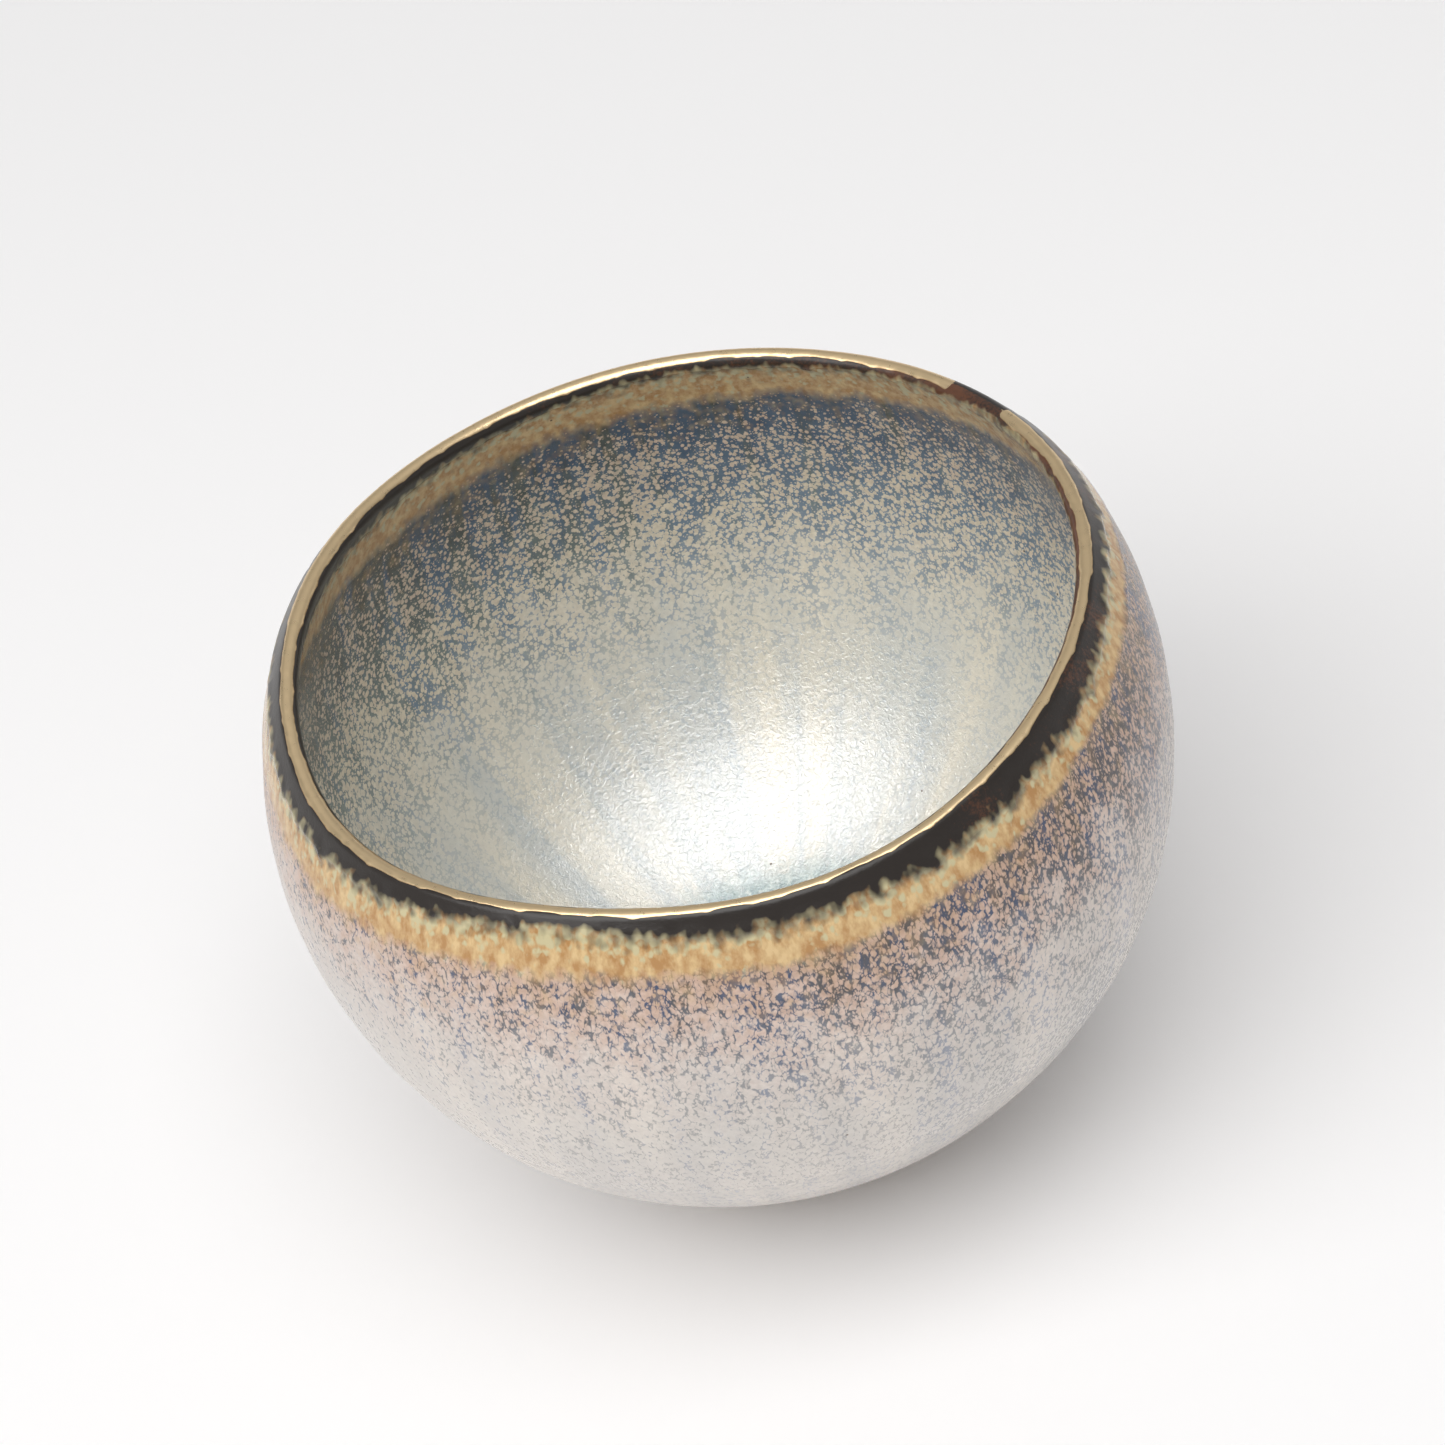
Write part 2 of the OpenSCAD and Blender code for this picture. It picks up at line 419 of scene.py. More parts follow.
def plug(tree, node, links):
    """Sets a node's inputs, each to a value or to another node's output."""
    for key, value in links.items():
        if isinstance(value, bpy.types.NodeSocket):
            tree.links.new(value, node.inputs[key])
        else:
            node.inputs[key].default_value = value


def add(tree, kind, links=None, stops=None, out=0, **settings):
    """Adds one node and gives its output of the name or number out, if it has outputs.

    settings are the node's own, links are its inputs, as for plug, and stops are the places and colours, or
    grey levels, of a colour ramp.
    """
    node = tree.nodes.new("ShaderNode" + kind)
    for key, value in settings.items():
        setattr(node, key, value)
    plug(tree, node, links or {})
    for i, (place, colour) in enumerate(stops or ()):
        ramp = node.color_ramp.elements
        stop = ramp[i] if i < 2 and i < len(ramp) else ramp.new(place)
        stop.position = place
        stop.color = linear(colour) if isinstance(colour, str) else (colour, colour, colour, 1)
    return node.outputs[out] if node.outputs else None


IN_COLOUR = {"data_type": "RGBA", "out": 2}  # makes a Mix node mix colours


def new_material(name):
    """An empty node material and its shader."""
    material = bpy.data.materials.new(name)
    material.use_nodes = True
    tree = material.node_tree
    tree.nodes.clear()
    surface = add(tree, "BsdfPrincipled")
    add(tree, "OutputMaterial", {"Surface": surface})
    return material, tree, surface.node


def places(tree):
    """Where a point is, for patterns: in millimetres, and unrolled round the bowl.

    Unrolled, a point is its direction on a circle of the belly's radius, and its run down the wall, so a
    pattern can be stretched down the wall and still meets itself round the back.
    """
    attribute = add(tree, "Attribute", attribute_name="flow", out="Vector")
    parts = add(tree, "SeparateXYZ", {0: attribute}).node.outputs
    at = add(tree, "TexCoord", out="Object")
    mm = add(tree, "VectorMath", {0: at, "Scale": 1000.0}, operation="SCALE")
    flat = add(tree, "VectorMath", {0: at, 1: (1, 1, 0)}, operation="MULTIPLY")
    unit = add(tree, "VectorMath", {0: flat}, operation="NORMALIZE")
    circle = add(tree, "VectorMath", {0: unit, "Scale": BELLY_MM}, operation="SCALE")
    down = add(tree, "CombineXYZ", {"Z": parts["Y"]})
    unrolled = add(tree, "VectorMath", {0: circle, 1: down}, operation="ADD")
    sideways = add(tree, "SeparateXYZ", {0: unit}, out="X")
    return SimpleNamespace(
        band=parts["X"], outside=parts["Z"], mm=mm, unrolled=unrolled, sideways=sideways
    )


def cells(tree, at, size, cover, soft):
    """Round crystals about size mm apart, grown together where cover is high: 1 in a crystal, 0 between."""
    nearest = add(tree, "TexVoronoi", {"Vector": at, "Scale": 1 / size}, feature="F1")
    over = add(tree, "Math", {0: cover, 1: nearest}, operation="SUBTRACT")
    return add(tree, "Math", {0: over, 1: 0.5 / soft, 2: 0.5}, operation="MULTIPLY_ADD", use_clamp=True)


# The body glaze is crystals over a darker glass. Stops are places down the wall: 0 is the foot of the ochre
# runs, and 1 is 100 mm below. Lengths are in millimetres.
# - cell is the distance between two crystals, stretch draws them out down the wall, bend is how far the flow
#   has pushed them, and soft blurs their edges.
# - cover is the radius of a crystal over the distance between two: at 0.4 about a quarter of the glass is
#   hidden, at 0.5 half, and at 0.6 four fifths. clouds, streaks and broken are how much it changes in clouds,
#   in streaks and from speck to speck. lean is painted light: from left to right it adds crystals and paler
#   colours, so the outside is lighter on its left, where the softbox falls, and the hollow on its right-back
#   wall, a painted sheen. fine is how much less small crystals have.
# - The glass is blue where a noise passes blue_from, which blue_lean shifts from left to right.
# - milk is how far the wall has melted into streaks of cream and smoke.
# - gathered is the place where the thick glass in the bottom starts, or 1 for none.
OUTSIDE_BODY = {
    "cell": 0.62, "stretch": (1, 1, 0.62), "bend": 0.28, "clouds": 0.34, "streaks": 0.2, "fine": 0.12,
    # lean is painted light: it makes the left of the outside paler, where the softbox falls.
    "lean": -0.10, "blue_from": 0.46, "blue_lean": 0.0, "soft": 0.10, "broken": 0.36,
    "glass": ((0, "#524c4a"), (0.08, "#5f6168"), (0.22, "#868789"), (0.5, "#a3a1a0")),
    "blue": ((0, "#3c4a66"), (0.1, "#4a5b78"), (0.22, "#77839e"), (0.5, "#989fb2")),
    "crystal": ((0, "#c0a18c"), (0.06, "#ccb3a5"), (0.15, "#d7cac1"), (0.3, "#ded8d0"), (0.6, "#d8d1c9")),
    "cover": ((0, 0.49), (0.05, 0.52), (0.12, 0.56), (0.25, 0.59), (1, 0.60)),
    "milk": ((0.04, 0.0), (0.16, 0.3), (0.32, 0.5)),
    "cream": "#dcd3c9", "smoke": "#bdb9b6", "gathered": 1,
}
HOLLOW_BODY = {
    "cell": 0.74, "stretch": (1, 1, 1), "bend": 0.12, "clouds": 0.5, "streaks": 0.26, "fine": 0.15,
    # lean is painted light: it makes the hollow's right-back wall paler, a painted sheen.
    "lean": 0.02, "blue_from": 0.38, "blue_lean": 0.14, "soft": 0.05, "broken": 0.28,
    "glass": ((0, "#4c4a42"), (0.05, "#535a58"), (0.2, "#7c8684"), (0.45, "#aeb4b1")),
    "blue": ((0, "#44556c"), (0.05, "#4a5e76"), (0.2, "#788a9b"), (0.45, "#b0b7bc")),
    "crystal": ((0, "#bda28a"), (0.06, "#d1bda9"), (0.2, "#dcd1bc"), (0.4, "#e6e0d0"), (0.7, "#ebe7dc")),
    "cover": ((0, 0.20), (0.03, 0.33), (0.08, 0.42), (0.2, 0.49), (0.35, 0.55), (0.6, 0.60)),
    "milk": ((0.22, 0.0), (0.42, 0.62), (0.6, 0.8)),
    "cream": "#e0dacb", "smoke": "#bfc4c4", "gathered": 0.755,
}
FROSTED_GLASS = ((0.35, "#4f6a70"), (0.5, "#7d9597"), (0.65, "#c6cec9"))


def crystal_cover(tree, at, look, fall, long):
    """Where the crystals are, 1 on one and 0 between, and the clouds in which they crowd."""
    # They sit in cells, whose places a noise bends as the flow did.
    laid = at.mm
    if look["stretch"][2] < 1:
        laid = add(tree, "VectorMath", {0: at.unrolled, 1: look["stretch"]}, operation="MULTIPLY")
    wander = add(tree, "TexNoise", {"Vector": laid, "Scale": 0.9, "Detail": 2.0}, out="Color")
    centred = add(tree, "VectorMath", {0: wander, 1: (0.5, 0.5, 0.5)}, operation="SUBTRACT")
    amount = add(tree, "VectorMath", {0: centred, "Scale": 4 * look["bend"]}, operation="SCALE")
    bent = add(tree, "VectorMath", {0: laid, 1: amount}, operation="ADD")
    # They crowd in clouds 5 mm wide and in streaks 6 mm wide, and are broken up millimetre by millimetre.
    clouds = add(tree, "TexNoise", {"Vector": at.mm, "Scale": 0.2, "Detail": 5.0, "Roughness": 0.72})
    streaks = add(tree, "TexNoise", {"Vector": long, "Scale": 0.17, "Detail": 3.0})
    breaks = add(tree, "TexNoise", {"Vector": at.mm, "Scale": 0.9, "Detail": 1.0})
    cover = add(tree, "ValToRGB", {0: fall}, stops=look["cover"])
    for noise, share in ((clouds, look["clouds"]), (streaks, look["streaks"]), (breaks, look["broken"])):
        eased = add(tree, "Math", {0: cover, 1: share / 2}, operation="SUBTRACT")
        cover = add(tree, "Math", {0: noise, 1: share, 2: eased}, operation="MULTIPLY_ADD")
    # Painted light: lean shifts the cover from left to right, for a lit left outside and a painted sheen in
    # the hollow.
    cover = add(tree, "Math", {0: at.sideways, 1: look["lean"], 2: cover}, operation="MULTIPLY_ADD")
    coarse = cells(tree, bent, look["cell"], cover, look["soft"])
    thin = add(tree, "Math", {0: cover, 1: look["fine"]}, operation="SUBTRACT")
    fine = cells(tree, bent, look["cell"] * 0.55, thin, 1.5 * look["soft"])
    return add(tree, "Math", {0: coarse, 1: fine}, operation="MAXIMUM"), clouds


def glass_colour(tree, at, look, place, long):
    """Colour of the glass between the crystals: slate, or blue in patches 3 mm wide."""
    patch = add(tree, "TexNoise", {"Vector": long, "Scale": 0.35, "Detail": 4.0, "Roughness": 0.6})
    patch = add(tree, "Math", {0: at.sideways, 1: look["blue_lean"], 2: patch}, operation="MULTIPLY_ADD")
    low, high = look["blue_from"], 0.16 + look["blue_from"]
    blueness = add(tree, "MapRange", {"Value": patch, "From Min": low, "From Max": high})
    slate = add(tree, "ValToRGB", {0: place}, stops=look["glass"])
    blue = add(tree, "ValToRGB", {0: place}, stops=look["blue"])
    return add(tree, "Mix", {0: blueness, 6: slate, 7: blue}, **IN_COLOUR)


def crystal_colour(tree, at, look, place):
    """Colour of the crystals, each a little lighter or darker than the next."""
    pale = add(tree, "ValToRGB", {0: place}, stops=look["crystal"])
    grain = add(tree, "TexNoise", {"Vector": at.mm, "Scale": 1.6, "Detail": 3.0})
    spread = {"Value": grain, "From Min": 0.3, "From Max": 0.7, "To Min": 0.88, "To Max": 1.1}
    varied = add(tree, "MapRange", spread)
    return add(tree, "VectorMath", {0: pale, "Scale": varied}, operation="SCALE")


def milk_colour(tree, look, long):
    """Colour of the melted glaze low down: cream and smoke, side by side in streaks 8 mm wide and finer."""
    streaky = {"Vector": long, "Scale": 0.13, "Detail": 3.0, "Roughness": 0.45, "Distortion": 0.3}
    bands = add(tree, "TexNoise", streaky)
    side = add(tree, "MapRange", {"Value": bands, "From Min": 0.36, "From Max": 0.64})
    smoke, cream = linear(look["smoke"]), linear(look["cream"])
    return add(tree, "Mix", {0: side, 6: smoke, 7: cream}, **IN_COLOUR)


def body_colour(tree, at, look):
    """Colour of the speckled body glaze, and how dry its surface is: 1 on a crystal, 0 on clear glass."""
    fall = add(tree, "Math", {0: at.band, 1: 2.0}, operation="SUBTRACT", use_clamp=True)
    long = add(tree, "VectorMath", {0: at.unrolled, 1: (1, 1, 0.11)}, operation="MULTIPLY")
    crystals, clouds = crystal_cover(tree, at, look, fall, long)
    # Colours change down the wall, sooner where there are clouds, and sooner on one side of the bowl: that is
    # painted light, a paler left outside where the softbox falls and a painted sheen on the hollow's
    # right-back wall.
    cloudy = add(tree, "Math", {0: clouds, 1: 0.3, 2: fall}, operation="MULTIPLY_ADD")
    half_painted_light_lean = 0.5 * look["lean"]
    cloudy_with_painted_light = add(tree, "Math", {0: at.sideways, 1: half_painted_light_lean, 2: cloudy}, operation="MULTIPLY_ADD")
    place = add(tree, "Math", {0: cloudy_with_painted_light, 1: 0.15}, operation="SUBTRACT")
    glass = glass_colour(tree, at, look, place, long)
    crystal = crystal_colour(tree, at, look, place)
    speckled = add(tree, "Mix", {0: crystals, 6: glass, 7: crystal}, **IN_COLOUR)
    milk = milk_colour(tree, look, long)
    melted = add(tree, "ValToRGB", {0: place}, stops=look["milk"])
    colour = add(tree, "Mix", {0: melted, 6: speckled, 7: milk}, **IN_COLOUR)
    # Crystals are duller than the glass and stand a hair above it. Low in the bowl all is glass.
    fading = {"Value": fall, "From Min": 0.2, "From Max": 0.55, "To Min": 1.0, "To Max": 0.0}
    dry = add(tree, "Math", {0: crystals, 1: add(tree, "MapRange", fading)}, operation="MULTIPLY")
    if look["gathered"] < 1:
        return gathered_glass(tree, at, fall, look["gathered"], colour, dry)
    return colour, dry


def gathered_glass(tree, at, fall, start, colour, dry):
    """The bottom of the hollow, where the glaze has gathered to a thick blue-green glass with dull frost."""
    frost = add(tree, "TexNoise", {"Vector": at.mm, "Scale": 0.7, "Detail": 5.0, "Roughness": 0.7})
    glassy = add(tree, "ValToRGB", {0: frost}, stops=FROSTED_GLASS)
    edge = add(tree, "Math", {0: frost, 1: 0.08, 2: fall}, operation="MULTIPLY_ADD")
    deep = add(tree, "MapRange", {"Value": edge, "From Min": start, "From Max": start + 0.05})
    colour = add(tree, "Mix", {0: deep, 6: colour, 7: glassy}, **IN_COLOUR)
    return colour, add(tree, "Math", {0: deep, 1: 3.0, 2: dry}, operation="MULTIPLY_ADD")


def runs_colour(tree, at, colours):
    """Colour of the ochre runs: honey and ochre, with celadon dots and tongues in their upper half."""
    # Outside they have run further, so what is drawn on them is taller than it is wide.
    squeeze = add(tree, "Math", {0: at.outside, 1: -0.25, 2: 0.85}, operation="MULTIPLY_ADD")
    squashed = add(tree, "CombineXYZ", {0: 1.0, 1: 1.0, 2: squeeze})
    tall = add(tree, "VectorMath", {0: at.unrolled, 1: squashed}, operation="MULTIPLY")
    mottle = add(tree, "TexNoise", {"Vector": tall, "Scale": 0.7, "Detail": 3.0, "Roughness": 0.6})
    mix = add(tree, "MapRange", {"Value": mottle, "From Min": 0.36, "From Max": 0.66})
    warm = add(tree, "Mix", {0: mix, 6: colours.ochre, 7: colours.honey}, **IN_COLOUR)
    tongue = add(tree, "TexNoise", {"Vector": tall, "Scale": 0.8, "Detail": 2.0, "Distortion": 0.3})
    dots = cells(tree, at.mm, 1.1, 0.46, 0.2)
    shaped = add(tree, "Math", {0: dots, 1: 0.20, 2: tongue}, operation="MULTIPLY_ADD")
    fading = {"Value": at.band, "From Min": 1.0, "From Max": 1.7, "To Min": 0.49, "To Max": 0.78}
    high = add(tree, "MapRange", fading)
    over = add(tree, "Math", {0: shaped, 1: high}, operation="SUBTRACT")
    celadon = add(tree, "MapRange", {"Value": over, "From Min": -0.05, "From Max": 0.10})
    return add(tree, "Mix", {0: celadon, 6: warm, 7: colours.celadon}, **IN_COLOUR)


def dark_colour(tree, at, colours):
    """Colour of the iron glaze: near black, with grains of rust where it is thin, on the hollow's right."""
    grain = add(tree, "TexNoise", {"Vector": at.mm, "Scale": 2.2, "Detail": 4.0, "Roughness": 0.7})
    drift = add(tree, "TexNoise", {"Vector": at.mm, "Scale": 0.12, "Detail": 2.0})
    lean = add(tree, "Math", {0: at.sideways, 1: 0.30, 2: drift}, operation="MULTIPLY_ADD")
    inside = add(tree, "Math", {0: at.outside, 1: -0.35, 2: lean}, operation="MULTIPLY_ADD")
    both = add(tree, "Math", {0: grain, 1: inside}, operation="ADD")
    rusty = add(tree, "MapRange", {"Value": both, "From Min": 0.98, "From Max": 1.30})
    return add(tree, "Mix", {0: rusty, 6: colours.dark, 7: colours.rust}, **IN_COLOUR)


def glaze(name, colours, sides, roughness, peel):
    """A melted glaze: coloured glass over clay, glossy, with the ripple of orange peel, peel mm deep.

    All coats share this recipe and read the same band, so one runs into the next with ragged edges and no
    seam. It gives the eye crystals over darker glass, teeth of dark glaze in the ochre, and wet highlights.
    The real ripple is finer than 0.3 mm, and is drawn 0.6 mm wide so that it shows.
    """
    material, tree, shader = new_material(name)
    at = places(tree)
    looks = {"outside": OUTSIDE_BODY, "hollow": HOLLOW_BODY}
    bodies = [body_colour(tree, at, looks[side]) for side in sides]
    body, dry = bodies[0]
    if len(bodies) == 2:
        inner_body, inner_dry = bodies[1]
        body = add(tree, "Mix", {0: at.outside, 6: inner_body, 7: body}, **IN_COLOUR)
        dry = add(tree, "Mix", {0: at.outside, 2: inner_dry, 3: dry})
    runs = runs_colour(tree, at, colours)
    dark = dark_colour(tree, at, colours)
    # Teeth: a noise 1.5 mm wide and a little taller shifts where one coat takes over from the next.
    tall = add(tree, "VectorMath", {0: at.unrolled, 1: (1, 1, 0.85)}, operation="MULTIPLY")
    teeth = add(tree, "TexNoise", {"Vector": tall, "Scale": 0.66, "Detail": 1.5, "Roughness": 0.4})
    shift = add(tree, "Math", {0: teeth, 1: 1.0, 2: -0.5}, operation="MULTIPLY_ADD")
    ragged = add(tree, "Math", {0: at.band, 1: shift}, operation="ADD")
    gentle = add(tree, "Math", {0: shift, 1: 0.4, 2: at.band}, operation="MULTIPLY_ADD")
    low = add(tree, "MapRange", {"Value": gentle, "From Min": 1.72, "From Max": 2.04})
    lower = add(tree, "Mix", {0: low, 6: runs, 7: body}, **IN_COLOUR)
    top = add(tree, "MapRange", {"Value": ragged, "From Min": 0.78, "From Max": 1.26})
    colour = add(tree, "Mix", {0: top, 6: dark, 7: lower}, **IN_COLOUR)
    # Gas leaves a few brown pinholes, 0.4 mm across.
    pinhole = cells(tree, at.mm, 9.0, 0.02, 0.004)
    pitted = add(tree, "Mix", {0: pinhole, 6: colour, 7: linear("#4a3020")}, **IN_COLOUR)
    dry = add(tree, "Math", {0: dry, 1: low}, operation="MULTIPLY")
    dull = add(tree, "Math", {0: dry, 1: 0.14, 2: roughness}, operation="MULTIPLY_ADD")
    crinkle = {"Vector": at.mm, "Scale": 1.6, "Detail": 4.0, "Roughness": 0.62, "Distortion": 0.9}
    rough = add(tree, "TexNoise", crinkle)
    dimples = add(tree, "TexVoronoi", {"Vector": at.mm, "Scale": 0.8}, feature="SMOOTH_F1")
    ripple = add(tree, "Math", {0: dimples, 1: -0.35, 2: rough}, operation="MULTIPLY_ADD")
    raised = add(tree, "Math", {0: dry, 1: 0.10, 2: ripple}, operation="MULTIPLY_ADD")
    bump = add(tree, "Bump", {"Height": raised, "Strength": 1.0, "Distance": peel * MM})
    plug(tree, shader, {"Base Color": pitted, "Roughness": dull, "Normal": bump, "IOR": 1.52})
    return material


def gold_lustre(colours):
    """Fired gold lustre, brushed on over the glaze: a thin bright metal that keeps the glaze's ripple.

    It gives the eye a warm line that flashes almost white, and that wears to brown along its two edges.
    """
    material, tree, shader = new_material("fired_gold_lustre")
    at = places(tree)
    wander = add(tree, "TexNoise", {"Vector": at.mm, "Scale": 0.9, "Detail": 4.0, "Roughness": 0.6})
    edge = add(tree, "Math", {0: wander, 1: 0.35, 2: at.band}, operation="MULTIPLY_ADD")
    worn = add(tree, "MapRange", {"Value": edge, "From Min": 1.0, "From Max": 1.3})
    colour = add(tree, "Mix", {0: worn, 6: colours.gold, 7: linear("#94683a")}, **IN_COLOUR)
    brushed = {"Value": wander, "From Min": 0.35, "From Max": 0.65, "To Min": 0.27, "To Max": 0.40}
    rough = add(tree, "MapRange", brushed)
    bump = add(tree, "Bump", {"Height": wander, "Strength": 1.0, "Distance": 0.04 * MM})
    plug(tree, shader, {"Base Color": colour, "Metallic": 1.0, "Roughness": rough, "Normal": bump})
    return material


def fired_clay(colours, name, ring_pitch):
    """Bare stoneware, turned on the wheel and fired: matt, sandy, with iron specks.

    It gives the eye a dry warm grey-brown with fine turning lines, one for each ring_pitch millimetres. Sand
    of 0.2 mm is drawn 0.5 mm wide so that it shows.
    """
    material, tree, shader = new_material(name)
    at = places(tree)
    grain = add(tree, "TexNoise", {"Vector": at.mm, "Scale": 1.8, "Detail": 6.0, "Roughness": 0.7})
    blush = add(tree, "TexNoise", {"Vector": at.mm, "Scale": 0.09, "Detail": 3.0})
    tone = add(tree, "Math", {0: grain, 1: 0.5, 2: blush}, operation="MULTIPLY_ADD")
    clay = add(tree, "ValToRGB", {0: tone}, stops=((0.5, "#80694f"), (0.75, "#a08a72"), (0.95, "#b9a48b")))
    iron = cells(tree, at.mm, 2.1, 0.20, 0.04)
    colour = add(tree, "Mix", {0: iron, 6: clay, 7: linear("#3c2a1e")}, **IN_COLOUR)
    tinted = add(tree, "Mix", {0: 0.35, 6: colour, 7: colours.clay}, **IN_COLOUR)
    rise = add(tree, "SeparateXYZ", {0: at.mm}, out="Z")
    flat = add(tree, "VectorMath", {0: at.mm, 1: (1, 1, 0)}, operation="MULTIPLY")
    radius = add(tree, "VectorMath", {0: flat}, operation="LENGTH", out="Value")
    slant = add(tree, "Math", {0: radius, 1: rise}, operation="ADD")
    phase = add(tree, "Math", {0: slant, 1: TURN / ring_pitch}, operation="MULTIPLY")
    lines = add(tree, "Math", {0: phase}, operation="SINE")
    height = add(tree, "Math", {0: lines, 1: 0.15, 2: grain}, operation="MULTIPLY_ADD")
    bump = add(tree, "Bump", {"Height": height, "Strength": 0.7, "Distance": 0.4 * MM})
    plug(tree, shader, {"Base Color": tinted, "Roughness": 0.82, "Normal": bump})
    return material


def finish(piece, material, node):
    """Gives a piece its material and its place in the frame, and retires the CAD node it stands for."""
    piece.data.materials.append(material)
    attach(piece, "root")
    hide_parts(node)


# ---- one operator for each piece


class TEABOWL_OT_clay(bpy.types.Operator):
    """Throw the stoneware wall, from the bottom up over the lip, and turn the hollow under it"""

    bl_idname = "tea_bowl.clay"
    bl_label = "Clay wall"

    def execute(self, context):
        """The section at the depth of the glaze, then the turned hollow under the foot, as one profile.

        The ceiling of that hollow is flat, with a spiral groove and a low knob left in its middle.
        """
        form, s, colours = bowl_of(context)
        phi = columns(AROUND)
        clay_r = form.outer_r - s.glaze_t
        recess_r = s.foot_d / 2 - s.foot_w - FOOT_FLARE * s.foot_hollow
        end = form.turn_run + form.outer_r * (np.pi - np.arcsin(recess_r / clay_r) - form.turn_a)
        run = np.concatenate([np.linspace(-form.hollow_end, 0, 100), np.linspace(0, end, 101)[1:]])
        radius, height = section(form, run[:, None] + 0 * phi, s.glaze_t)
        inward = np.linspace(1, 0, 60)[:, None]
        floor_r = recess_r * inward + 0 * phi
        groove = 0.12 * MM * np.cos(TURN * floor_r / GROOVE_PITCH - phi) * smooth(inward, 0, 0.3)
        knob = 0.7 * MM * (1 - smooth(inward, 0, 0.28))
        floor_z = s.foot_hollow + groove * (1 - smooth(inward, 0.85, 1)) - knob
        points = turned(form, np.concatenate([radius, floor_r]), np.concatenate([height, floor_z]), phi)
        piece = mesh_from_grid("clay_bowl", points, np.zeros_like(points), poles=True)
        finish(piece, fired_clay(colours, "turned_stoneware", 1.4), "clay_wall")
        return {"FINISHED"}


class TEABOWL_OT_foot(bpy.types.Operator):
    """Turn the foot ring"""

    bl_idname = "tea_bowl.foot"
    bl_label = "Foot ring"

    def execute(self, context):
        """A closed outline turned about the axis: each corner is a short quadratic curve.

        The outer side flares and carries shallow turning grooves, and the top reaches into the clay wall.
        """
        _, s, colours = bowl_of(context)
        phi = columns(AROUND)
        outer, inner = s.foot_d / 2, s.foot_d / 2 - s.foot_w
        shoulder = 0.9 * FOOT_TOP
        ceiling = s.foot_hollow - 0.2 * MM
        corners = np.array([
            [inner, 0], [outer, 0], [outer + FOOT_FLARE * shoulder, shoulder], [outer, FOOT_TOP],
            [inner, FOOT_TOP - 1.4 * MM], [inner - FOOT_FLARE * ceiling, ceiling],
        ])
        outline = rounded(corners, np.array([0.7, 0.9, 0.2, 0.2, 0.2, 0.2]) * MM, 8, 14)
        radius = outline[:, :1] + 0 * phi
        height = outline[:, 1:] + 0 * phi
        side = smooth(radius, outer - 0.5 * MM, outer + 0.1 * MM) * smooth(height, 0.6 * MM, 1.4 * MM)
        radius = radius + side * 0.06 * MM * np.cos(TURN * height / TOOL_PITCH + phi)
        points = np.stack([radius * np.cos(phi), radius * np.sin(phi), height], axis=-1)
        piece = mesh_from_grid("turned_foot", points, np.zeros_like(points))
        finish(piece, fired_clay(colours, "turned_stoneware_foot", 0.7), "foot_ring")
        return {"FINISHED"}


class TEABOWL_OT_body_glaze(bpy.types.Operator):
    """Lay the speckled glaze on the outside and in the hollow"""

    bl_idname = "tea_bowl.body_glaze"
    bl_label = "Body glaze"

    def execute(self, context):
        """Outside, a coat from the ochre runs to a rounded, wandering edge above the foot.

        In the hollow, a coat from the ochre runs to the middle of the bottom, where its rows meet.
        """
        form, s, colours = bowl_of(context)
        phi = columns(AROUND_FINE)
        _, _, runs_out, runs_in = edges(form, phi)
        bare_a = np.pi - np.arcsin(s.bare_d / 2 / form.outer_r)
        bare = form.turn_run + form.outer_r * (bare_a - form.turn_a)
        grid = coat(form, phi, runs_out, bare - waves(phi, BARE_WAVES), 100, 8, rounding=0.9 * MM)
        piece = mesh_from_grid("outer_body_glaze", *grid)
        satin = glaze("speckled_glaze_outside", colours, ("outside",), 0.22, 0.03)
        finish(piece, satin, "outer_glaze")
        rows = 110
        grid = coat(form, phi, -runs_in, -form.hollow_end + 0 * phi, rows, 8)
        from_bottom_to_bottom = [np.roll(part, -(rows + 1), axis=0) for part in grid]
        piece = mesh_from_grid("inner_body_glaze", *from_bottom_to_bottom, poles=True)
        wet = glaze("speckled_glaze_hollow", colours, ("hollow",), 0.05, 0.12)
        finish(piece, wet, "inner_glaze")
        return {"FINISHED"}


class TEABOWL_OT_pool(bpy.types.Operator):
    """Fill the lowest part of the hollow with a pool of glaze"""

    bl_idname = "tea_bowl.pool"
    bl_label = "Glaze pool"

    def execute(self, context):
        """A lens on the hollow's section, pool_t * (1 - q^2) deep, where q grows from 0 in the middle to 1 at
        an edge that wanders a little.
        """
        form, s, colours = bowl_of(context)
        phi = columns(AROUND)
        reach = s.pool_d / 2 + waves(phi, POOL_WAVES) - 0.9 * MM
        q = np.concatenate([np.linspace(0, 1, 41), np.linspace(1, 0, 12)[1:]])[:, None]
        run = -(form.hollow_end - q * reach)
        rise = np.concatenate([1 - np.linspace(0, 1, 41) ** 2, np.zeros(11)])[:, None]
        depth = np.where(rise > 0, -s.pool_t * rise - relief(form, run, phi), 0.1 * MM)
        points = turned(form, *section(form, run, depth), phi)
        piece = mesh_from_grid("pooled_glaze", points, flow(form, run, phi), poles=True)
        glass = glaze("pooled_glaze_glass", colours, ("hollow",), 0.05, 0.04)
        finish(piece, glass, "glaze_pool")
        return {"FINISHED"}


